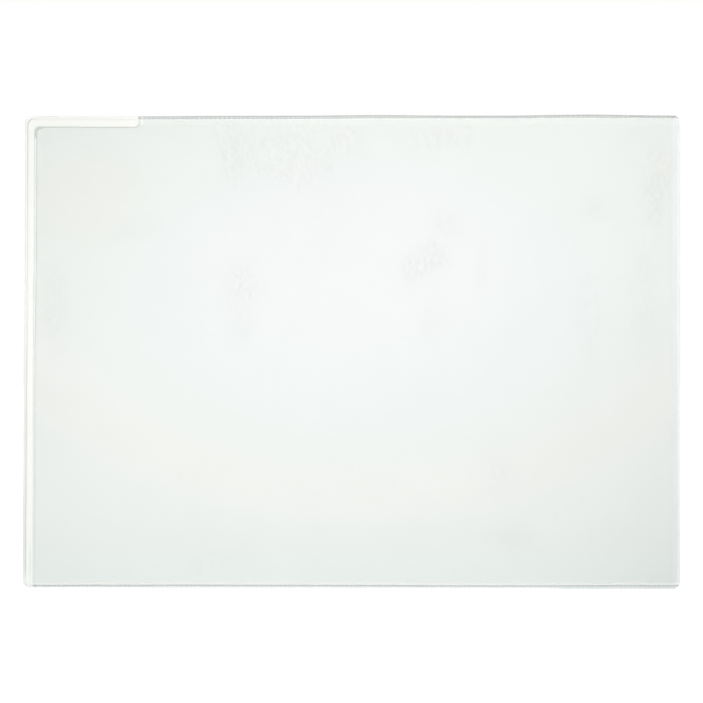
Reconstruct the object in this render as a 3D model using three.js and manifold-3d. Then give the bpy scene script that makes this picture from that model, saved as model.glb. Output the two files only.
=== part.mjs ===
// A magnetic display pocket for one landscape sheet, in millimetres.
// X runs right, Z runs up and the clear window faces -Y. The steel board behind it is the plane y = 0.
// The origin is the centre of the top magnetic strip's face, where the pocket holds on to the board.
// The layers, from the board outwards: magnetic strips, their tapes, back panel, welds, window.
import * as THREE from "three";
import { mergeVertices } from "three/addons/utils/BufferGeometryUtils.js";
import Module from "manifold-3d";

// Back panel and window
const pocketWidth = 306;
const pocketHeight = 220;
const outerCornerRadius = 3;
const backThickness = 0.3;
const windowThickness = 0.2;
const sheetSpace = 0.4;
const weldWidth = 1.3;

// The window stops short of the open left side, and of the left end of the top for a thumb cut
const sideLip = 4.3;
const cutDepth = 4.6;
const cutLength = 52.5;
const cutFilletRadius = 2;
const windowCornerRadius = 2.3;

// The window's loose corner lifts about a fold line, from the bottom weld to beside the thumb cut's fillet
const foldToFillet = 0.5;
const foldSlit = 0.3;

// Magnetic strips across the back, one near the top edge and one near the bottom edge
const stripHeight = 20;
const stripThickness = 0.9;
const stripEdgeInset = 8;
const stripEndInset = 8;
const tapeThickness = 0.1;

const arcSegments = 12;

// Distances of each layer's back face in front of the board
const tapeDepth = stripThickness;
const backDepth = tapeDepth + tapeThickness;
const weldDepth = backDepth + backThickness;
const windowDepth = weldDepth + sheetSpace;

// Edges, seen from the front, measured from the pocket's centre
const left = -pocketWidth / 2;
const right = pocketWidth / 2;
const bottom = -pocketHeight / 2;
const top = pocketHeight / 2;
const windowLeft = left + sideLip;
const cutEdge = top - cutDepth;
const cutEnd = left + cutLength;

const foldStart = new THREE.Vector2(windowLeft, bottom + weldWidth);
const foldEnd = new THREE.Vector2(cutEnd - cutFilletRadius - foldToFillet, cutEdge);
const foldLean = Math.atan2(foldEnd.x - foldStart.x, foldEnd.y - foldStart.y);

const stripLength = pocketWidth - 2 * stripEndInset;
const stripCentreFromMiddle = pocketHeight / 2 - stripEdgeInset - stripHeight / 2;

const wasm = await Module();
wasm.setup();

const backFilm = new THREE.MeshStandardMaterial({ color: 0xf6f7f2, roughness: 0.4, metalness: 0 });
const fusedFilm = new THREE.MeshStandardMaterial({ color: 0xcfd5d1, roughness: 0.3, metalness: 0 });
const magnetRubber = new THREE.MeshStandardMaterial({ color: 0x35302d, roughness: 0.7, metalness: 0 });
const adhesive = new THREE.MeshStandardMaterial({ color: 0xe9e4d2, roughness: 0.6, metalness: 0 });
const clearFilm = new THREE.MeshStandardMaterial({
  color: 0xdfe7e2,
  roughness: 0.45,
  metalness: 0,
  transparent: true,
  opacity: 0.4,
});

// The back panel's outline, a rectangle with round corners.
function pocketOutline() {
  const outline = new THREE.Shape();
  const r = outerCornerRadius;
  outline.absarc(right - r, bottom + r, r, -Math.PI / 2, 0);
  outline.absarc(right - r, top - r, r, 0, Math.PI / 2);
  outline.absarc(left + r, top - r, r, Math.PI / 2, Math.PI);
  outline.absarc(left + r, bottom + r, r, Math.PI, 1.5 * Math.PI);
  outline.closePath();
  return outline;
}

// The window right of the fold line, with the thumb cut's fillet where it meets the top edge.
function windowOutline() {
  const outline = new THREE.Shape();
  const r = outerCornerRadius;
  const fillet = cutFilletRadius;
  outline.moveTo(windowLeft, bottom);
  outline.absarc(right - r, bottom + r, r, -Math.PI / 2, 0);
  outline.absarc(right - r, top - r, r, 0, Math.PI / 2);
  outline.lineTo(cutEnd, top);
  outline.absarc(cutEnd - fillet, cutEdge + fillet, fillet, 0, -Math.PI / 2, true);
  outline.lineTo(foldEnd.x, foldEnd.y);
  outline.lineTo(foldStart.x, foldStart.y);
  outline.closePath();
  return outline;
}

// The loose corner left of the fold line, kept one slit away from it.
function flapOutline() {
  const outline = new THREE.Shape();
  const r = windowCornerRadius;
  outline.moveTo(windowLeft, foldStart.y + foldSlit / Math.sin(foldLean));
  outline.lineTo(foldEnd.x - foldSlit / Math.cos(foldLean), cutEdge);
  outline.absarc(windowLeft + r, cutEdge - r, r, Math.PI / 2, Math.PI);
  outline.closePath();
  return outline;
}

// A flat sheet with its outline seen from the front, its back face at y = 0 and its front towards -Y.
function sheet(outline, thickness) {
  const geometry = new THREE.ExtrudeGeometry(outline, {
    depth: thickness,
    bevelEnabled: false,
    curveSegments: arcSegments,
  });
  return geometry.rotateX(Math.PI / 2);
}

// A plain block between two corners seen from the front, its back face at y = 0.
function block(x0, z0, x1, z1, thickness) {
  const geometry = new THREE.BoxGeometry(x1 - x0, thickness, z1 - z0);
  return geometry.translate((x0 + x1) / 2, -thickness / 2, (z0 + z1) / 2);
}

function solidFrom(geometry) {
  const bare = geometry.clone();
  bare.deleteAttribute("normal");
  bare.deleteAttribute("uv");
  const merged = mergeVertices(bare);
  const vertProperties = new Float32Array(merged.getAttribute("position").array);
  const triVerts = new Uint32Array(merged.index.array);
  return new wasm.Manifold(new wasm.Mesh({ numProp: 3, vertProperties, triVerts }));
}

// The geometry that two closed shapes share.
function common(first, second) {
  const mesh = solidFrom(first).intersect(solidFrom(second)).getMesh();
  const geometry = new THREE.BufferGeometry();
  geometry.setAttribute("position", new THREE.BufferAttribute(mesh.vertProperties, 3));
  geometry.setIndex(new THREE.BufferAttribute(mesh.triVerts, 1));
  geometry.computeVertexNormals();
  return geometry;
}

// One piece, with its back face at a depth in front of the board.
function piece(name, geometry, material, depth) {
  const mesh = new THREE.Mesh(geometry, material);
  mesh.name = name;
  mesh.position.y = -depth;
  return mesh;
}

// A weld is the stretch of the pocket's outline inside one edge band, where the two films are fused.
function weld(name, x0, z0, x1, z1) {
  const band = block(x0, z0, x1, z1, sheetSpace);
  return piece(name, common(sheet(pocketOutline(), sheetSpace), band), fusedFilm, weldDepth);
}

// A magnetic strip and the double-sided tape that holds it to the back panel.
function magneticStrip(name, centreZ) {
  const pair = new THREE.Group();
  const stripShape = new THREE.BoxGeometry(stripLength, stripThickness, stripHeight);
  const tapeShape = new THREE.BoxGeometry(stripLength, tapeThickness, stripHeight);
  pair.add(piece(`${name}_magnet_strip`, stripShape, magnetRubber, stripThickness / 2));
  pair.add(piece(`${name}_strip_tape`, tapeShape, adhesive, tapeDepth + tapeThickness / 2));
  pair.position.z = centreZ;
  return pair;
}

const films = new THREE.Group();
films.add(piece("back_panel", sheet(pocketOutline(), backThickness), backFilm, backDepth));
films.add(piece("front_window", sheet(windowOutline(), windowThickness), clearFilm, windowDepth));
films.add(weld("top_weld", cutEnd, top - weldWidth, right - weldWidth, top));
films.add(weld("right_weld", right - weldWidth, bottom, right, top));
films.add(weld("bottom_weld", windowLeft, bottom, right - weldWidth, bottom + weldWidth));

// The flap's group has its origin on the fold line, in the middle of the window's thickness,
// so turning the group about that line lifts the flap.
const foldDepth = windowDepth + windowThickness / 2;
const flap = piece("window_corner_flap", sheet(flapOutline(), windowThickness), clearFilm, windowDepth);
const flapGroup = new THREE.Group();
flapGroup.position.set(foldStart.x, -foldDepth, foldStart.y);
flap.position.sub(flapGroup.position);
flapGroup.add(flap);

const pocket = new THREE.Group();
pocket.add(films);
pocket.add(flapGroup);
pocket.add(magneticStrip("top", stripCentreFromMiddle));
pocket.add(magneticStrip("bottom", -stripCentreFromMiddle));

// The pocket's middle hangs below the top strip's centre.
pocket.position.z = -stripCentreFromMiddle;
const displayPocket = new THREE.Group();
displayPocket.add(pocket);

export default displayPocket;
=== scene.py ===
import math

import bpy
import numpy as np
from mathutils import Matrix, Vector


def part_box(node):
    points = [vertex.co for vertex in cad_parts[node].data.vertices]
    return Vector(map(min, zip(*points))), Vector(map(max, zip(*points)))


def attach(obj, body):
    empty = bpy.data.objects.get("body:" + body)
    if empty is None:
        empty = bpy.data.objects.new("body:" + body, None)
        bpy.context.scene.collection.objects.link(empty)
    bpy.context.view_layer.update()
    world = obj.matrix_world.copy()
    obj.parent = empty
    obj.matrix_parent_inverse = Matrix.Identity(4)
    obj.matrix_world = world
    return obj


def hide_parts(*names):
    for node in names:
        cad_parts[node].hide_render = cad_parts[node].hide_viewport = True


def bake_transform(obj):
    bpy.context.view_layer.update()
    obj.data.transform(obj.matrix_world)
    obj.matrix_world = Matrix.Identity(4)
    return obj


# A magnetic display pocket: a clear film welded to a white film on three sides, magnetic strips behind.
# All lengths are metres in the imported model's frame. X runs right, Z runs up and the clear window faces -Y.

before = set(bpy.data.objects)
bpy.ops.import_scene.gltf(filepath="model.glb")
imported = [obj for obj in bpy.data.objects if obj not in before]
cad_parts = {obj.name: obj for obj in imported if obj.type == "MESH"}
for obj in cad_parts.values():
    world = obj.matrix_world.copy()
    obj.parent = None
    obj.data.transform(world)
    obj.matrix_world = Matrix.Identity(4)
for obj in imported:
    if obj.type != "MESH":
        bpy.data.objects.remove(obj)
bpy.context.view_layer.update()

MM = 0.001
MICRON = 1e-6


def box(node):
    """A node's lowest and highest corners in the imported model."""
    low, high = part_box(node)
    return np.array(low), np.array(high)


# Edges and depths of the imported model
(left, panel_front, bottom), (right, panel_back, top) = box("back_panel")
window_front = box("front_window")[0][1]
window_back = box("front_window")[1][1]
free_edge = box("window_corner_flap")[0][0]
cut_edge = box("window_corner_flap")[1][2]
weld_width = top - box("top_weld")[0][2]
middle_z = (bottom + top) / 2

# The photo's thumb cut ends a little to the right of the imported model's
cut_end_shift = 0.7 * MM
cut_end = box("top_weld")[0][0] + cut_end_shift

# Corners of the outline
outer_radius = 3.0 * MM
free_radius = 2.3 * MM
cut_fillet = 1.5 * MM

# Radii on which the lines beside the open edges turn the corner, on the back film and on the window
back_line_radius = 4.2 * MM
window_line_radius = 3.2 * MM

# How far the window stands off the back film, and where it is pinched beside the welds
film_fullness = 0.45 * MM
fullness_reach = 25 * MM
slack_wave = 0.06 * MM
cling_depth = 0.3 * MM
weld_pinch = 0.07 * MM
pinch_start = 1.2 * MM
pinch_end = 3.2 * MM

# The back film's groove along its open edges and its dents behind the welds
groove_inset = 1.15 * MM
groove_reach = 0.28 * MM
groove_depth = 0.07 * MM
dent_reach = 0.4 * MM
dent_depth = 0.06 * MM

# The weld beads: their rims, the gaps to the films, and the ribs across them
bead_rim = 0.35 * MM
bead_rim_share = 0.55
bead_floor_gap = 0.005 * MM
bead_crown_gap = 0.01 * MM
rib_pitch = 2.2 * MM
rib_depth = 0.05 * MM

# The share of a film's thickness that is left at its cut edge
cut_edge_share = 0.3

# A distance that stands for being near no edge at all
far_off = 1.0

# Steps of the grids that the sheets are made on
coarse_step = 2.5 * MM
fine_offsets = MM * np.array([0.04, 0.12, 0.25, 0.4, 0.55, 0.75, 0.95, 1.15, 1.35, 1.6, 1.9, 2.3, 2.8, 3.4])
weld_offsets = MM * np.array([0, 0.05, 0.15, 0.35, 0.65, 0.95, 1.15, 1.25])
rim_offsets = MM * np.array([0, 0.03, 0.08, 0.16, 0.3, 0.6])

# Places where the window clings to the back film, in mm from the pocket's middle:
# X, Z, half width, half height, and how strongly it clings
cling_patches = (
    (-51.6, 33, 7.5, 9.5, 0.52),
    (-50.7, 14, 6, 12, 0.4),
    (27.7, 39, 7, 5.5, 0.57),
    (38.9, 44.2, 7, 6.5, 0.5),
    (44, 60.5, 7, 5.5, 0.36),
    (36.6, 12.4, 6, 9, 0.32),
    (-56, 92, 9, 16, 0.32),
    (-29, 91, 21, 14, 0.3),
    (-3, 98.8, 10, 6, 0.35),
    (-24, 81, 9, 5, 0.3),
    (35, 99, 17, 4.5, 0.35),
    (50, 101, 6, 6, 0.35),
    (-100, 58, 18, 6, 0.3),
    (-138, 20, 5, 22, 0.3),
    (60, 38, 4, 10, 0.38),
    (109, 18, 7, 24, 0.2),
    (113, 66, 6, 5, 0.36),
    (136, 24, 5, 30, 0.2),
    (142, 78, 6, 20, 0.45),
    (68, -58, 7, 11, 0.3),
    (74, -86, 10, 6, 0.3),
    (-62, -98, 12, 5, 0.35),
)


def smooth(value, low, high):
    """Rises from 0 at low to 1 at high, level at both ends."""
    share = np.clip((value - low) / (high - low), 0, 1)
    return share * share * (3 - 2 * share)


def positions(low, high, edges):
    """Grid lines from low to high in even steps, with finer ones on both sides of each edge."""
    beside = [edge + side * fine_offsets for edge in edges for side in (-1, 1)]
    fine = np.concatenate([[low, high], edges, *beside])
    within = (fine > low - MICRON) & (fine < high + MICRON)
    fine = np.unique(np.round(fine[within], 7))
    even = np.linspace(low, high, round((high - low) / coarse_step) + 1)
    clear = np.abs(even[:, None] - fine[None, :]).min(axis=1) > 0.3 * coarse_step
    return np.sort(np.concatenate([fine, even[clear]]))


def round_corner(x, z, corner_x, corner_z, inward_x, inward_z, radius):
    """Bends the square corner of a grid into a quarter circle.

    With u and v the shares of the radius by which a point lies past the circle's centre,
    it goes to u times the root of 1 - v^2 / 2, and v times the root of 1 - u^2 / 2.
    """
    centre_x = corner_x + inward_x * radius
    centre_z = corner_z + inward_z * radius
    u = np.clip((centre_x - x) * inward_x / radius, 0, 1)
    v = np.clip((centre_z - z) * inward_z / radius, 0, 1)
    beyond = (u > 0) & (v > 0)
    round_x = centre_x - inward_x * radius * u * np.sqrt(1 - v * v / 2)
    round_z = centre_z - inward_z * radius * v * np.sqrt(1 - u * u / 2)
    return np.where(beyond, round_x, x), np.where(beyond, round_z, z)


def fill_cut_corner(x, z):
    """Gives the window a concave quarter circle at the end of the thumb cut.

    Points on the corner's two legs go to the arc, 90 degrees shared evenly over the legs,
    and points deeper in the film follow them by a share that fades to nothing at three radii.
    """
    beside = np.clip(cut_end - x, 0, cut_fillet)
    above = np.clip(z - cut_edge, 0, cut_fillet)
    angle = np.radians(45) * (1 + (beside - above) / cut_fillet)
    arc_x = cut_end - cut_fillet + cut_fillet * np.cos(angle)
    arc_z = cut_edge + cut_fillet - cut_fillet * np.sin(angle)
    depth = np.maximum(x - cut_end, cut_edge - z)
    follow = np.clip(1 - depth / (3 * cut_fillet), 0, 1)
    return x + follow * (arc_x - cut_end + beside), z + follow * (arc_z - cut_edge - above)


def outer_corners(x, z):
    """Rounds the pocket's four outer corners."""
    for corner_x, inward_x in ((left, 1), (right, -1)):
        for corner_z, inward_z in ((bottom, 1), (top, -1)):
            x, z = round_corner(x, z, corner_x, corner_z, inward_x, inward_z, outer_radius)
    return x, z


def from_nearest_side(x, z, low_x, high_x, low_z, high_z):
    """How far inside the nearest side of a rectangle each point is."""
    return np.minimum(np.minimum(x - low_x, high_x - x), np.minimum(z - low_z, high_z - z))


def corner_distance(from_side, from_end, radius):
    """Distance from the nearer of two edges that meet in a rounded corner."""
    beyond = np.hypot(np.maximum(radius - from_side, 0), np.maximum(radius - from_end, 0))
    in_corner = (from_side < radius) & (from_end < radius)
    return np.where(in_corner, radius - beyond, np.minimum(from_side, from_end))


def hump(value, centre, reach):
    """1 at the centre, falling off as a Gaussian."""
    return np.exp(-((value - centre) / reach) ** 2)


def welded_drift(x, z):
    """The welded edges aren't quite straight: Gaussian swells along the top, and a wider rim at the bottom.

    The top's shift fades inwards over 12 mm. The bottom's is gone at 0.9 mm, so that the weld line itself
    stays straight. The right edge stands in by 0.3 mm, fading over 3 mm.
    """
    across = x / MM
    swell = 0.28 * hump(across, 11, 24) + 0.47 * hump(across, 109, 23) - 0.24 * hump(across, -110, 40)
    wider_left = 0.1 * smooth(across, -30, -60)
    wider_right = 0.45 * smooth(across, 85, 105) - 0.1 * smooth(across, 115, 130)
    downward = (0.12 + wider_left + wider_right) * np.clip(1 - (z - bottom) / (0.9 * MM), 0, 1)
    upward = swell * np.exp(-(top - z) / (12 * MM)) - downward
    inward = 0.3 * np.exp(-(right - x) / (3 * MM))
    return x - inward * MM, z + upward * MM


def side_drift(x, z):
    """The back's open left edge stands in at the top and out at the bottom, fading inwards over 3 mm."""
    height = (z - middle_z) / MM
    inward = 0.22 - 0.46 * smooth(height, 25, -30) - 0.2 * smooth(height, -60, -84)
    return x + inward * np.exp(-(x - left) / (3 * MM)) * MM, z


def free_drift(x, z):
    """The window's free edge stands in near the top, and its cut edge dips towards the cut's end."""
    height = (z - middle_z) / MM
    inward = 0.3 * smooth(height, 20, 45) * np.exp(-(x - free_edge) / (6 * MM))
    share = np.clip((x - free_edge) / (cut_end - free_edge), 0, 1)
    dip = (0.12 + 0.16 * share) * smooth(x, cut_end + 1 * MM, cut_end - 3 * MM)
    downward = dip * np.exp(-np.abs(cut_edge - z) / (6 * MM))
    return x + inward * MM, z - downward * MM


def half_thickness(edge_distance, thickness):
    """Half a sheet's thickness. Towards its cut edge it falls on a quarter ellipse to a share of that."""
    share = np.clip(edge_distance / (thickness / 2), 0, 1)
    return thickness / 2 * (cut_edge_share + (1 - cut_edge_share) * np.sqrt(1 - (1 - share) ** 2))


def all_cells(x):
    """Marks every cell of a grid as kept."""
    return np.ones((x.shape[0] - 1, x.shape[1] - 1), dtype=bool)


def shell(name, x, z, front, back, kept, marks):
    """A closed sheet on a grid: a front and a back skin, and a wall along each open side of the kept cells.

    x and z place the grid's points, front and back are their depths along Y, and marks are numbers
    that each point passes on to the material.
    """
    index = np.arange(x.size).reshape(x.shape)
    low_left, low_right = index[:-1, :-1], index[1:, :-1]
    high_left, high_right = index[:-1, 1:], index[1:, 1:]
    skin = np.stack([low_left[kept], low_right[kept], high_right[kept], high_left[kept]], axis=1)
    faces = [skin, skin[:, ::-1] + x.size]
    around = np.pad(kept, 1)
    for neighbour, start, end in (
        (around[1:-1, :-2], low_right, low_left),
        (around[2:, 1:-1], high_right, low_right),
        (around[1:-1, 2:], high_left, high_right),
        (around[:-2, 1:-1], low_left, high_left),
    ):
        first = start[kept & ~neighbour]
        second = end[kept & ~neighbour]
        faces.append(np.stack([first, second, second + x.size, first + x.size], axis=1))
    faces = np.concatenate(faces)
    used, faces = np.unique(faces, return_inverse=True)
    faces = faces.reshape(-1, 4)
    front_points = np.stack([x, front, z], axis=-1).reshape(-1, 3)
    back_points = np.stack([x, back, z], axis=-1).reshape(-1, 3)
    points = np.concatenate([front_points, back_points])[used]
    mesh = bpy.data.meshes.new(name)
    mesh.from_pydata(points.tolist(), [], faces.tolist())
    for mark, values in marks.items():
        attribute = mesh.attributes.new(mark, "FLOAT", "POINT")
        both = np.concatenate([values.ravel(), values.ravel()])[used]
        attribute.data.foreach_set("value", both.astype(np.float32))
    mesh.polygons.foreach_set("use_smooth", np.ones(len(faces), dtype=bool))
    mesh.set_sharp_from_angle(angle=math.radians(50))
    piece = bpy.data.objects.new(name, mesh)
    bpy.context.scene.collection.objects.link(piece)
    return piece


def cling(x, z):
    """How far inside the nearest cling patch each point is, as a Gaussian, and that patch's strength."""
    inside = np.zeros_like(x)
    strength = np.zeros_like(x)
    for patch_x, patch_z, half_width, half_height, patch_strength in cling_patches:
        across = (x - patch_x * MM) / (half_width * MM)
        up = (z - middle_z - patch_z * MM) / (half_height * MM)
        patch = np.exp(-(across ** 2 + up ** 2))
        strength = np.where(patch > inside, patch_strength, strength)
        inside = np.maximum(inside, patch)
    return inside, strength


def ripple(x, z):
    """The film's slack: three long waves in different directions, added."""
    waves = (
        np.sin(2 * np.pi * (x / 0.083 + z / 0.31)),
        np.sin(2 * np.pi * (x / 0.21 - z / 0.097) + 1.3),
        np.sin(2 * np.pi * (x / 0.127 + z / 0.151) + 2.6),
    )
    return slack_wave * sum(waves)


def back_film():
    """The white back: flat, with a rolled rim and a groove on its open edges, and dents behind the welds."""
    x_lines = positions(left, right, [left, right])
    z_lines = positions(bottom, top, [bottom, top])
    x, z = np.meshgrid(x_lines, z_lines, indexing="ij")
    from_left = x - left
    from_top = top - z
    from_bottom = z - bottom
    from_right = right - x
    outside = from_nearest_side(x, z, left, right, bottom, top)
    half = half_thickness(outside, panel_back - panel_front)
    centre = (panel_front + panel_back) / 2
    open_edge = np.minimum(from_left, np.where(x < cut_end, from_top, far_off))
    groove = hump(open_edge, groove_inset, groove_reach)
    dent_line = np.minimum(np.where(x > cut_end, from_top, far_off), np.minimum(from_right, from_bottom))
    dent = hump(dent_line, weld_width / 2, dent_reach)
    front = centre - half + groove_depth * groove
    back = centre + half - dent_depth * dent
    x, z = outer_corners(x, z)
    from_open = corner_distance(x - left, top - z, back_line_radius)
    weld_along = np.where(from_right < np.minimum(from_top, from_bottom), z, x)
    marks = {
        "from_left": from_left,
        "from_open": from_open,
        "weld_line": dent_line,
        "weld_along": weld_along,
    }
    x, z = side_drift(*welded_drift(x, z))
    return shell("back_film", x, z, front, back, all_cells(x), marks)


def clear_film():
    """The window: one film with the thumb cut at its top left, full in the middle, pinched at the welds."""
    x_lines = positions(free_edge, right, [free_edge, cut_end, right])
    z_lines = positions(bottom, top, [bottom, cut_edge, top])
    x, z = np.meshgrid(x_lines, z_lines, indexing="ij")
    from_free = x - free_edge
    from_top = top - z
    from_bottom = z - bottom
    from_right = right - x
    beside_cut = x - cut_end
    below_cut = cut_edge - z
    corner_gap = np.hypot(beside_cut, below_cut)
    from_cut = np.where(below_cut < 0, beside_cut, np.where(beside_cut < 0, below_cut, corner_gap))
    from_top_weld = np.where(x > cut_end - MICRON, from_top, far_off)
    welded = np.minimum(np.minimum(from_right, from_bottom), from_top_weld)
    outside = np.minimum(np.minimum(from_free, from_cut), np.minimum(welded, from_top))

    held = (1 - np.exp(-from_bottom / fullness_reach)) * (1 - np.exp(-from_right / fullness_reach))
    held = held * (1 - np.exp(-np.maximum(from_top, 0) / fullness_reach))
    stand_off = held * (film_fullness + ripple(x, z))
    cling_inside, cling_strength = cling(x, z)
    stand_off = stand_off - cling_depth * cling_inside * cling_strength * held
    stand_off = stand_off - weld_pinch * (1 - smooth(welded, pinch_start, pinch_end))

    centre = (window_front + window_back) / 2 - stand_off
    half = half_thickness(outside, window_back - window_front)
    between_x = (x_lines[1:] + x_lines[:-1]) / 2
    between_z = (z_lines[1:] + z_lines[:-1]) / 2
    kept = ~((between_x[:, None] < cut_end) & (between_z[None, :] > cut_edge))
    loose_end = np.where(from_free < 10 * MM, below_cut, far_off)
    marks = {
        "from_free": from_free,
        "from_loose": corner_distance(from_free, loose_end, window_line_radius),
        "from_cut": from_cut,
        "from_top": from_top,
        "from_bottom": from_bottom,
        "from_right": from_right,
        "cling_inside": cling_inside,
        "cling_strength": cling_strength,
    }
    x, z = fill_cut_corner(x, z)
    x, z = round_corner(x, z, free_edge, cut_edge, 1, -1, free_radius)
    x, z = free_drift(*welded_drift(*outer_corners(x, z)))
    return shell("clear_film", x, z, centre - half, centre + half, kept, marks)


def weld_bead(name, x_lines, z_lines, along_x):
    """A weld: a low bead between the films, with cross ribs pressed in by the welding bar.

    Across the weld it is flat, with both rims rounded down on a quarter ellipse. Along it the ribs are
    a cosine with their pitch.
    """
    x, z = np.meshgrid(x_lines, z_lines, indexing="ij")
    along = x if along_x else z
    edge = from_nearest_side(x, z, x_lines[0], x_lines[-1], z_lines[0], z_lines[-1])
    round_share = np.clip(edge / bead_rim, 0, 1)
    rounding = bead_rim_share + (1 - bead_rim_share) * np.sqrt(1 - (1 - round_share) ** 2)
    ribs = 0.5 + 0.5 * np.cos(2 * np.pi * along / rib_pitch)
    floor = panel_front - bead_floor_gap
    crown = window_back + weld_pinch + bead_crown_gap
    centre = (floor + crown) / 2
    half = (floor - crown) / 2 * rounding
    front = centre - half + rib_depth * ribs * rounding
    marks = {"ribs": ribs, "across": edge / weld_width}
    x, z = welded_drift(*outer_corners(x, z))
    return shell(name, x, z, front, centre + half, all_cells(x), marks)


def strip(name, node, rim_radius, wander):
    """A flat strip with rounded edges in a CAD node's box. Its long sides wander by a sum of sines."""
    low, high = box(node)
    inner_z = np.linspace(low[2] + 1.6 * MM, high[2] - 1.6 * MM, 12)
    z_lines = np.concatenate([low[2] + rim_offsets, inner_z, high[2] - rim_offsets[::-1]])
    inner_x = np.linspace(low[0] + 1.5 * MM, high[0] - 1.5 * MM, 240)
    x_lines = np.concatenate([low[0] + rim_offsets, inner_x, high[0] - rim_offsets[::-1]])
    x, z = np.meshgrid(x_lines, z_lines, indexing="ij")
    edge = from_nearest_side(x, z, low[0], high[0], low[2], high[2])
    share = np.clip(edge / rim_radius, 0, 1)
    thin = rim_radius * (1 - np.sqrt(1 - (1 - share) ** 2))
    middle = (low[2] + high[2]) / 2
    side = (z - middle) / (high[2] - middle)
    drift = np.sin(x / 0.019 + side) + 0.6 * np.sin(x / 0.0071 + 2 * side + 1)
    z = z + wander * drift * side * np.abs(side)
    return shell(name, x, z, low[1] + thin, high[1] - thin, all_cells(x), {"edge": edge})


class Signal:
    """A number at a node's socket. Python's operators on it add Math nodes."""

    def __init__(self, finish, socket):
        self.finish = finish
        self.socket = socket

    def math(self, operation, first, second=0.0, clamp=False):
        settings = {"operation": operation, "use_clamp": clamp}
        return self.finish.node("ShaderNodeMath", settings, {0: first, 1: second})

    def __add__(self, other):
        return self.math("ADD", self, other)

    def __radd__(self, other):
        return self.math("ADD", other, self)

    def __sub__(self, other):
        return self.math("SUBTRACT", self, other)

    def __rsub__(self, other):
        return self.math("SUBTRACT", other, self)

    def __mul__(self, other):
        return self.math("MULTIPLY", self, other)

    def __rmul__(self, other):
        return self.math("MULTIPLY", other, self)

    def __truediv__(self, other):
        return self.math("DIVIDE", self, other)

    def __rtruediv__(self, other):
        return self.math("DIVIDE", other, self)

    def __pow__(self, other):
        return self.math("POWER", self, other)

    def cos(self):
        return self.math("COSINE", self)

    def clamped(self):
        return self.math("ADD", self, 0.0, clamp=True)

    def line(self, centre, half_width):
        """1 at the centre and half at half_width from it: 1 over 1 plus the distance's fourth power."""
        share = (self - centre) / half_width
        squared = share * share
        return 1.0 / (1.0 + squared * squared)

    def step(self, low, high):
        """Rises smoothly from 0 at low to 1 at high."""
        settings = {"interpolation_type": "SMOOTHSTEP"}
        values = {"Value": self, "From Min": low, "From Max": high}
        return self.finish.node("ShaderNodeMapRange", settings, values)

    def ribbed(self):
        """1 where a weld's rib is pressed in and 0 midway between two, for a length along the weld."""
        return 0.5 + (self * (2 * math.pi / rib_pitch)).cos() * 0.5


class Finish:
    """A material's nodes around one Principled shader."""

    def __init__(self, name):
        self.material = bpy.data.materials.new(name)
        self.material.use_nodes = True
        self.tree = self.material.node_tree
        self.shader = self.tree.nodes["Principled BSDF"]
        self.place = self.node("ShaderNodeTexCoord", {}, {}, "Object")

    def node(self, kind, settings, values, output=0):
        """Adds one node: its settings first, then the values or links of its sockets."""
        made = self.tree.nodes.new(kind)
        for key, setting in settings.items():
            setattr(made, key, setting)
        for key, value in values.items():
            self.feed(made.inputs[key], value)
        return Signal(self, made.outputs[output])

    def feed(self, socket, value):
        if isinstance(value, Signal):
            self.tree.links.new(value.socket, socket)
        elif socket.type == "RGBA":
            socket.default_value = (*value, 1.0)
        else:
            socket.default_value = value

    def set(self, **sockets):
        """Feeds the Principled shader's sockets, named with underscores for spaces."""
        for key, value in sockets.items():
            self.feed(self.shader.inputs[key.replace("_", " ")], value)

    def mark(self, name):
        """A number that each point of the mesh carries."""
        return self.node("ShaderNodeAttribute", {"attribute_name": name}, {}, "Fac")

    def axis(self, name):
        return self.node("ShaderNodeSeparateXYZ", {}, {"Vector": self.place}, name)

    def height_share(self):
        """Height on the pocket, from 0 at its foot to 1 at its top."""
        return (self.axis("Z") - bottom) / (top - bottom)

    def noise(self, grain, detail=2.0, stretch=(1, 1, 1), shift=0.0):
        """Soft noise about 0.5 with lumps of one grain's length, longer along an axis by its stretch."""
        scale = tuple(1 / (grain * longer) for longer in stretch)
        values = {"Vector": self.place, "Scale": scale, "Location": (shift, 2 * shift, 3 * shift)}
        moved = self.node("ShaderNodeMapping", {}, values)
        return self.node("ShaderNodeTexNoise", {}, {"Vector": moved, "Scale": 1.0, "Detail": detail})

    def mix(self, first, second, factor):
        """A colour between two others."""
        return self.node("ShaderNodeMix", {"data_type": "RGBA"}, {0: factor, 6: first, 7: second}, 2)

    def bump(self, height):
        """The normal of a relief whose height is in metres."""
        return self.node("ShaderNodeBump", {}, {"Strength": 1.0, "Distance": 1.0, "Height": height})


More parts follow.
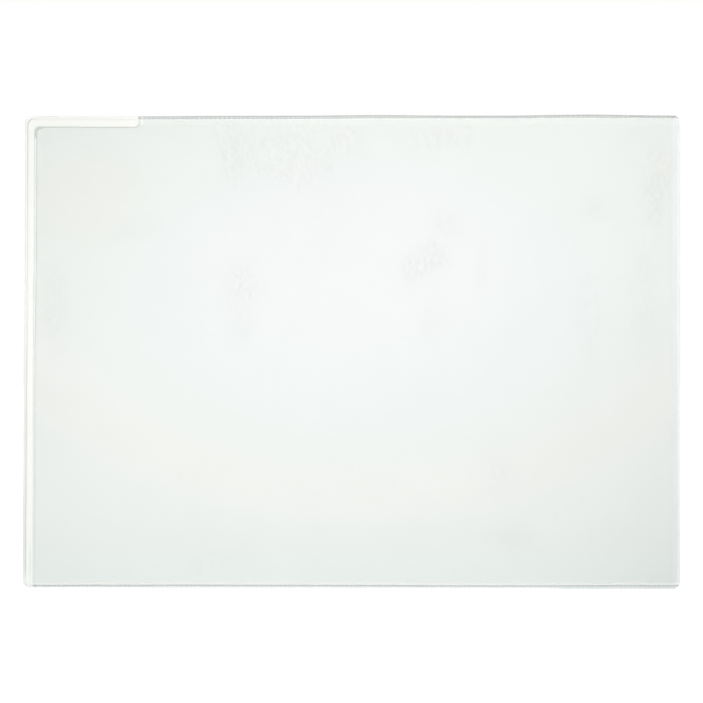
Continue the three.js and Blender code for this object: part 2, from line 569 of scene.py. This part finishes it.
def white_film_finish():
    """White calendered film: a satin grain, faint clouds, painted shade in the groove by its open edges,
    along its left edge and in the weld dents, and a painted shadow line.
    """
    finish = Finish("white_film")
    from_left = finish.mark("from_left")
    from_open = finish.mark("from_open")
    height_share = finish.height_share()
    along_top = from_left.step(2 * MM, 6 * MM)
    low_corner = height_share.step(0.045, 0.01)

    # The groove's painted shade is fainter a little above the middle, at the low corner and along the top
    uneven = finish.noise(18 * MM, 1.0, shift=0.7).step(0.35, 0.65)
    faint = height_share.line(0.64, 0.13) * 0.55 + low_corner * 0.75
    groove_place = groove_inset + height_share * (0.08 * MM) - along_top * (0.2 * MM)
    groove_line = from_open.line(groove_place, 0.21 * MM)
    groove = groove_line * (1.0 - faint) * (0.75 + uneven * 0.25) * (1.0 - along_top * 0.62)
    # Painted shade along the left outer edge, stronger lower down; a painted shadow line of the window's edge
    # near the low corner; painted shade in the weld dents, darker on their ribs
    rim = from_left.step(1.3 * MM, 0.95 * MM) * (0.4 - height_share * 0.31) * (1.0 - low_corner * 0.5)
    painted_edge_shadow = from_left.line(3.2 * MM, 0.35 * MM) * height_share.line(0.055, 0.03) * 0.4
    rib = finish.mark("weld_along").ribbed()
    pressed = finish.mark("weld_line").line(weld_width / 2, 0.5 * MM)
    dent = pressed * (0.16 + rib * 0.16)
    shade = (groove + rim + painted_edge_shadow + dent).clamped()

    cream_white = (0.915, 0.922, 0.880)
    painted_light_white = (0.950, 0.958, 0.922)
    painted_light_cool_white = (0.922, 0.985, 0.948)
    clouded_white = (0.905, 0.913, 0.866)
    shade_grey = (0.6, 0.61, 0.57)
    cloud = finish.noise(45 * MM, 3.0)
    fleck = finish.noise(1.2 * MM, 2.0)
    # Painted light: the white is paler near the top, most on the lip, in a low band, and cooler and paler at
    # the lip's foot
    painted_light_foot = height_share.step(0.13, 0.06) * from_left.step(7 * MM, 4.6 * MM)
    painted_light_top = height_share.step(0.86, 0.92) * (1.0 - along_top * 0.7)
    painted_light_low = height_share.line(0.19, 0.07) * 0.6
    clean = finish.mix(cream_white, painted_light_cool_white, painted_light_foot)
    clean = finish.mix(clean, painted_light_white, painted_light_top + painted_light_low)
    colour = finish.mix(clean, clouded_white, (cloud + fleck * 0.3 - 0.25).clamped())
    shaded = finish.mix(colour, shade_grey, shade)

    grain = finish.noise(0.4 * MM, 1.0)
    streaks = finish.noise(1.5 * MM, 2.0, stretch=(12, 1, 1))
    hollows = groove * 30.0 + pressed * 20.0 + pressed * rib * 25.0
    relief = (grain * 1.2 + streaks * 2.0 - hollows) * MICRON
    finish.set(Base_Color=shaded, Roughness=0.36 + cloud * 0.1, Normal=finish.bump(relief))
    return finish.material


class WindowPlace:
    """Where a point of the window is, as the numbers that its material is worked out from."""

    def __init__(self, finish):
        self.from_free = finish.mark("from_free")
        self.from_loose = finish.mark("from_loose")
        self.from_cut = finish.mark("from_cut")
        self.from_top = finish.mark("from_top")
        self.from_bottom = finish.mark("from_bottom")
        self.from_right = finish.mark("from_right")
        self.across = finish.axis("X")
        self.up = finish.axis("Z") - middle_z
        self.height_share = finish.height_share()
        self.past_cut = self.across.step(cut_end, cut_end + 2.5 * MM)
        self.rib_x = self.across.ribbed()

    def oval(self, middle_across, middle_up, half_width, half_height):
        """Squared distance from the middle of an oval, 1 on its outline. Its sizes are in mm."""
        share_across = (self.across - middle_across * MM) / (half_width * MM)
        share_up = (self.up - middle_up * MM) / (half_height * MM)
        return share_across ** 2.0 + share_up ** 2.0


def weld_shading(at):
    """How dark the window is along its top and bottom welds, as painted shade, and how pale the band beside
    them is, as a painted highlight.
    """
    narrow = at.across.line(62 * MM, 30 * MM) + at.across.step(122 * MM, 132 * MM)
    weld_edge = at.from_top + narrow * (0.3 * MM)
    outer_tone = 0.35 + at.past_cut * 0.57 - at.across.line(-88 * MM, 14 * MM) * 0.2
    inner_tone = (0.28 + at.rib_x * 0.28) * (0.3 + at.past_cut * 0.7)
    top_lines = at.from_top.line(0.1 * MM, 0.28 * MM) * outer_tone
    top_lines = top_lines + weld_edge.line(1.12 * MM, 0.24 * MM) * inner_tone

    sagging = at.across.step(-80 * MM, -100 * MM) * 0.15 + at.across.step(-120 * MM, -140 * MM) * 0.14
    rising = at.across.step(85 * MM, 100 * MM) * 0.09 + at.across.step(110 * MM, 130 * MM) * 0.1
    low_line = at.from_bottom + (sagging + at.across.line(58 * MM, 25 * MM) * 0.02 - rising) * MM
    low_tone = 0.52 + at.rib_x * 0.33 - at.across.step(30 * MM, 50 * MM) * 0.08
    bottom_line = low_line.line(1.05 * MM, 0.3 * MM) * low_tone

    flat = weld_edge.step(1.45 * MM, 1.3 * MM) * 0.2 + at.from_bottom.step(1.45 * MM, 1.3 * MM) * 0.04
    # A painted highlight just inside the welds, and along the top past the cut
    fringe_highlight = weld_edge.line(1.75 * MM, 0.24 * MM) * 0.3 + low_line.line(1.9 * MM, 0.42 * MM)
    fringe_highlight = fringe_highlight + at.from_top.step(5.5 * MM, 2.5 * MM) * at.past_cut * 0.25
    return (top_lines + bottom_line + flat).clamped(), fringe_highlight


def open_edge_shading(finish, at):
    """How dark the window's open edges are, as painted shade, and how pale the rim and the band beside the
    cut are, as painted highlights.
    """
    upper = at.height_share.step(0.5, 0.62)
    beside = at.from_free.step(5 * MM, 2.5 * MM)
    wander = (finish.noise(30 * MM, 1.0, shift=0.9) - 0.5) * (0.4 * MM)
    inner_place = at.from_loose + wander - upper * (0.1 * MM)
    side_lines = inner_place.line(1.08 * MM, 0.26 * MM) * (0.24 + upper * 0.34)
    side_lines = side_lines + at.from_loose.line(0.05 * MM, 0.15 * MM) * (0.15 + upper * 0.1)

    past_corner = at.across.step(cut_end - 1.5 * MM, cut_end)
    cut_line = at.from_cut.line(0.45 * MM, 0.32 * MM) * (0.5 - past_corner * 0.3)
    corner = at.from_free.step(7 * MM, 4 * MM) * at.from_cut.step(7 * MM, 4 * MM)
    corner_line = at.from_loose.line(0.5 * MM, 0.32 * MM) * corner * 0.55
    dark = side_lines * beside + cut_line * (1.0 - beside) * (1.0 - corner) + corner_line

    # Painted highlights: a pale rim beside the free edge in its upper half, and a pale band beside the cut
    rim = at.from_loose.line(0.75 * MM, 0.24 * MM) * upper * beside * (1.1 - corner)
    cut_highlight = at.from_cut.line(1.6 * MM, 0.6 * MM) * at.from_top.step(4.6 * MM, 3.6 * MM) * past_corner
    return dark.clamped(), rim, cut_highlight


def cling_shading(finish):
    """How strongly the window clings to the back, in ragged patches, and the mottling inside them."""
    ragged = finish.mark("cling_inside") + (finish.noise(4.5 * MM, 4.0, stretch=(1, 1, 1.4)) - 0.5) * 1.9
    touching = ragged.step(0.37, 0.44)
    strength = finish.mark("cling_strength")
    blotch = finish.noise(1.2 * MM, 1.0, stretch=(1, 1, 1.8)).step(0.45, 0.55)
    return touching * strength, touching * (0.012 + strength * 0.02) * (blotch - 0.4)


def film_tint_and_vignette(finish, at):
    """The clear film's tint with painted shade: neutral and palest in the middle, then bluish, then greenish
    and darker outwards, with two warm areas, the top left one darker.
    """
    neutral = (0.868, 0.889, 0.945)
    bluish = (0.832, 0.889, 0.945)
    greenish = (0.836, 0.899, 0.902)
    warm_low = (0.868, 0.891, 0.895)
    shaded_warm_corner = (0.853, 0.874, 0.862)
    cloud_grey = (0.72, 0.77, 0.79)
    outward = at.oval(5, 25, 104, 60)
    inner = finish.mix(bluish, neutral, at.oval(0, 40, 75, 40).step(1.6, 0.4))
    outer = finish.mix(greenish, warm_low, outward.line(2.35, 0.75) * at.up.step(60 * MM, -30 * MM))
    outer = finish.mix(outer, shaded_warm_corner, at.oval(-124, 73, 26, 21).step(1.8, 0.2) * 0.85)
    clear_tint = finish.mix(inner, outer, outward.step(0.75, 1.5))
    return finish.mix(clear_tint, cloud_grey, finish.noise(60 * MM, 2.0, shift=0.4) * 0.2)


def window_tint(finish, at, clinging, right_band):
    """The film's cast, changed at the cling patches, the foot and the right weld, with painted shade at the
    low right corner.
    """
    cling_grey = (0.60, 0.62, 0.66)
    cling_rose = (0.72, 0.65, 0.64)
    foot_green = (0.815, 0.91, 0.92)
    shady_grey = (0.70, 0.77, 0.77)
    band_low = (0.74, 0.83, 0.91)
    band_high = (0.84, 0.92, 0.98)
    near_top = at.up.step(72 * MM, 84 * MM) * at.across.step(-50 * MM, -40 * MM)
    cling_tone = finish.mix(cling_grey, cling_rose, near_top)
    clung = finish.mix(film_tint_and_vignette(finish, at), cling_tone, clinging * 0.58)
    foot = finish.mix(clung, foot_green, at.up.step(-90 * MM, -104 * MM) * 0.9)
    shady_corner = at.across.step(90 * MM, 165 * MM) * at.up.step(-50 * MM, -125 * MM)
    shady = finish.mix(foot, shady_grey, shady_corner * 0.75)
    return finish.mix(shady, finish.mix(band_low, band_high, at.height_share), right_band * 0.5)


def window_finish():
    """Clear film with a matt face: fine grain, ribs at the welds, painted dark lines and pale highlights at
    its edges, cling patches.
    """
    finish = Finish("clear_matt_film")
    at = WindowPlace(finish)
    weld, fringe_highlight = weld_shading(at)
    edge, rim, cut_highlight = open_edge_shading(finish, at)
    clinging, mottle = cling_shading(finish)
    right_band = at.from_right.step(4.2 * MM, 2.6 * MM)

    # Colours for the painted highlights and the painted shade lines
    highlight_grey = (0.95, 0.96, 0.96)
    shade_line_grey = (0.50, 0.53, 0.51)
    tint = window_tint(finish, at, clinging, right_band)
    highlighted = finish.mix(tint, highlight_grey, (fringe_highlight * 0.9 + rim + cut_highlight * 0.5).clamped())
    shaded = finish.mix(highlighted, shade_line_grey, (weld + edge).clamped())

    # The film shows the white back more where its alpha is lowered, as painted highlights beside the welds,
    # the free edge and the cut and as paler bands along the right weld and the bottom edge, and less on its
    # painted dark lines
    painted_light_clearing = fringe_highlight * 0.14 + rim * 0.15 + cut_highlight * 0.06 + right_band * 0.036
    painted_light_clearing = painted_light_clearing + at.from_right.step(1.5 * MM, 1.1 * MM) * (0.05 - at.height_share * 0.03)
    painted_light_clearing = painted_light_clearing + at.from_bottom.step(0.6 * MM, 0.35 * MM) * 0.14
    alpha = (0.19 + weld * 0.3 + edge * 0.2 + mottle - painted_light_clearing).clamped()

    on_long_welds = at.from_top.step(1.6 * MM, 1.2 * MM) + at.from_bottom.step(1.6 * MM, 1.2 * MM)
    on_right_weld = at.from_right.step(1.6 * MM, 1.2 * MM)
    ribs = at.rib_x * on_long_welds * 25.0 + finish.axis("Z").ribbed() * on_right_weld * 15.0
    relief = (finish.noise(0.45 * MM, 1.5) * 1.2 + ribs) * MICRON
    finish.set(Base_Color=shaded, Roughness=0.42 - clinging * 0.08, Alpha=alpha)
    finish.set(Normal=finish.bump(relief))
    return finish.material


def weld_finish(name, tone, ribbing):
    """Melted film in a grey of painted shade: greyer where its ribs are pressed in and towards its edges."""
    finish = Finish(name)
    dark = tuple(0.85 * channel for channel in tone)
    blotch = finish.noise(6 * MM, 3.0)
    rim = finish.mark("across").step(0.25, 0.0)
    factor = finish.mark("ribs") * ribbing + rim * 0.15 + blotch * 0.3
    colour = finish.mix(tone, dark, factor.clamped())
    relief = blotch * (8 * MICRON)
    finish.set(Base_Color=colour, Roughness=0.25 + blotch * 0.2, Normal=finish.bump(relief))
    return finish.material


def magnet_finish():
    """Ferrite-filled rubber: dark brown grey, with drawn streaks, dust specks and worn pale edges."""
    finish = Finish("ferrite_rubber")
    deep_brown = (0.026, 0.022, 0.019)
    dull_brown = (0.068, 0.058, 0.050)
    dust = (0.16, 0.145, 0.13)
    streaks = finish.noise(0.9 * MM, 3.0, stretch=(40, 1, 1))
    cloud = finish.noise(30 * MM, 3.0)
    specks = finish.noise(0.7 * MM, 1.0).step(0.68, 0.74)
    worn = finish.mark("edge").step(0.5 * MM, 0.0)
    patchy = (streaks.step(0.3, 0.7) * 0.6 + cloud * 0.6 - 0.1).clamped()
    rubber = finish.mix(deep_brown, dull_brown, patchy)
    dusty = finish.mix(rubber, dust, (specks * 0.5 + worn * 0.45).clamped())
    relief = (streaks * 20.0 + finish.noise(0.3 * MM, 1.0) * 5.0) * MICRON
    finish.set(Base_Color=dusty, Roughness=0.6 + cloud * 0.25, Normal=finish.bump(relief))
    finish.set(Specular_IOR_Level=0.3)
    return finish.material


def tape_finish():
    """Double-sided tape: cream adhesive on a carrier, yellower and duller at its edges."""
    finish = Finish("cream_adhesive")
    cream = (0.80, 0.76, 0.64)
    yellowed = (0.66, 0.59, 0.43)
    fibres = finish.noise(0.8 * MM, 3.0, stretch=(6, 1, 1))
    aged = finish.mark("edge").step(1.2 * MM, 0.0)
    colour = finish.mix(cream, yellowed, (aged * 0.6 + fibres * 0.4).clamped())
    relief = fibres * (6 * MICRON)
    finish.set(Base_Color=colour, Roughness=0.5 + fibres * 0.2, Normal=finish.bump(relief))
    return finish.material


def dress(piece, material, slot, *nodes):
    """Gives a piece its material and lets it stand for CAD nodes, which it hides. Its slot argument is not
    used.
    """
    piece.data.materials.append(material)
    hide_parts(*nodes)


# Pieces that stay with the pocket
back = back_film()
dress(back, white_film_finish(), "back_film", "back_panel")
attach(back, "pocket")

# Welds: name, CAD node, grid lines along X and along Z, whether it runs along X, tone, ribs' strength
rib_step = rib_pitch / 8
weld_end = right - weld_width
across_weld = np.append(weld_offsets, weld_width)
top_line = np.append(np.arange(cut_end, weld_end, rib_step), weld_end)
bottom_line = np.append(np.arange(free_edge, weld_end, rib_step), weld_end)
side_line = np.append(np.arange(bottom, top, rib_step), top)
# The weld beads' greys are painted shade: darkest at the top, paler at the bottom, nearly clear at the right
shaded_grey_tone = (0.89, 0.90, 0.89)
lightly_shaded_tone = (0.97, 0.98, 0.97)
clear_tone = (0.99, 0.99, 0.98)
welds = (
    ("top_seam", "top_weld", top_line, top - across_weld[::-1], True, shaded_grey_tone, 0.45),
    ("bottom_seam", "bottom_weld", bottom_line, bottom + across_weld, True, lightly_shaded_tone, 0.45),
    ("right_seam", "right_weld", right - across_weld[::-1], side_line, False, clear_tone, 0.12),
)
for name, node, x_lines, z_lines, along_x, tone, ribbing in welds:
    seam = weld_bead(name, x_lines, z_lines, along_x)
    dress(seam, weld_finish(f"{name}_film", tone, ribbing), "fused_film", node)
    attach(seam, "pocket")

# Magnetic strips and their tapes
bar_rim = 0.18 * MM
tape_rim = 0.04 * MM
tape_wander = 0.12 * MM
magnet = magnet_finish()
tape = tape_finish()
for place in ("top", "bottom"):
    bar = strip(f"{place}_magnet_bar", f"{place}_magnet_strip", bar_rim, 0.0)
    dress(bar, magnet, "magnet_rubber", f"{place}_magnet_strip")
    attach(bar, "pocket")
    layer = strip(f"{place}_adhesive_layer", f"{place}_strip_tape", tape_rim, tape_wander)
    dress(layer, tape, "strip_adhesive", f"{place}_strip_tape")
    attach(layer, "pocket")

# The window is one film.
window = clear_film()
dress(window, window_finish(), "window_film", "front_window", "window_corner_flap")
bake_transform(window)


def studio_world(ambient):
    """A world that is white to the camera and in reflections, and a grey fill for everything else."""
    world = bpy.data.worlds.new("studio")
    world.use_nodes = True
    bpy.context.scene.world = world
    nodes, links = world.node_tree.nodes, world.node_tree.links
    path = nodes.new("ShaderNodeLightPath")
    seen = nodes.new("ShaderNodeMath")
    seen.operation = "ADD"
    seen.use_clamp = True
    links.new(path.outputs["Is Camera Ray"], seen.inputs[0])
    mirrored = nodes.new("ShaderNodeMath")
    mirrored.operation = "ADD"
    links.new(path.outputs["Is Glossy Ray"], mirrored.inputs[0])
    links.new(path.outputs["Is Transmission Ray"], mirrored.inputs[1])
    links.new(mirrored.outputs[0], seen.inputs[1])
    tone = nodes.new("ShaderNodeMix")
    tone.data_type = "RGBA"
    tone.inputs[6].default_value = (ambient, ambient, ambient, 1)
    tone.inputs[7].default_value = (1, 1, 1, 1)
    links.new(seen.outputs[0], tone.inputs[0])
    links.new(tone.outputs[2], nodes["Background"].inputs["Color"])


def softbox(name, place, aim, size, watts):
    """A square area light that faces a point and isn't itself in the picture."""
    lamp = bpy.data.lights.new(name, "AREA")
    lamp.size = size
    lamp.energy = watts
    light = bpy.data.objects.new(name, lamp)
    light.location = place
    light.rotation_mode = "QUATERNION"
    light.rotation_quaternion = (Vector(aim) - Vector(place)).to_track_quat("-Z", "Y")
    light.visible_camera = False
    bpy.context.scene.collection.objects.link(light)


def pale_floor(drop):
    """A pale floor that catches the pocket's shadow and glows up to white further out."""
    height = bottom - drop
    reach = 30.0
    mesh = bpy.data.meshes.new("floor")
    sides = ((-1, -1), (1, -1), (1, 1), (-1, 1))
    corners = [(reach * side_x, reach * side_y, height) for side_x, side_y in sides]
    mesh.from_pydata(corners, [], [(0, 1, 2, 3)])
    floor = bpy.data.objects.new("floor", mesh)
    bpy.context.scene.collection.objects.link(floor)
    finish = Finish("pale_floor")
    path = finish.node("ShaderNodeLightPath", {}, {}, "Is Camera Ray")
    mirrored = finish.node("ShaderNodeLightPath", {}, {}, "Is Glossy Ray")
    across, along = finish.axis("X"), finish.axis("Y")
    from_pocket = (across * across + along * along) ** 0.5
    level = finish.mix((0.6, 0.6, 0.6), (1, 1, 1), from_pocket.step(0.35, 0.85))
    glow = finish.mix((0, 0, 0), level, (path + mirrored).clamped())
    finish.set(Base_Color=(0.85, 0.85, 0.84), Roughness=0.9, Emission_Color=glow, Emission_Strength=1.0)
    mesh.materials.append(finish.material)


def photo_camera():
    """The photograph's view, fitted to the pocket's four corners, with a small roll."""
    eye = Vector((0.00719, -0.77544, -0.09966))
    aim = Vector((-0.00006, 0.0, -0.09199))
    roll = 0.00086
    forward = (aim - eye).normalized()
    right_hand = forward.cross(Vector((0, 0, 1))).normalized()
    upward = right_hand.cross(forward)
    side = math.cos(roll) * right_hand + math.sin(roll) * upward
    head = -math.sin(roll) * right_hand + math.cos(roll) * upward
    lens = bpy.data.cameras.new("photo_camera")
    lens.lens = 85
    lens.sensor_width = 36
    camera = bpy.data.objects.new("photo_camera", lens)
    camera.matrix_world = Matrix.Translation(eye) @ Matrix((side, head, -forward)).transposed().to_4x4()
    bpy.context.scene.collection.objects.link(camera)
    bpy.context.scene.camera = camera


photo_camera()
bpy.context.scene.view_settings.view_transform = "Standard"
studio_world(0.12)
pale_floor(0.25)
pocket_middle = (0, 0, middle_z)
softbox("front_softbox", (0, -0.62, middle_z + 0.065), pocket_middle, 0.35, 1.80)
softbox("left_softbox", (-0.2, -0.42, middle_z + 0.015), (-0.06, 0, middle_z), 0.25, 0.49)
softbox("right_softbox", (0.2, -0.42, middle_z + 0.13), (0.06, 0, middle_z), 0.25, 0.545)
softbox("back_softbox", (-0.5, 0.8, 0.3), pocket_middle, 0.5, 7.0)
softbox("back_fill", (0.7, 0.6, 0.1), pocket_middle, 0.5, 3.0)
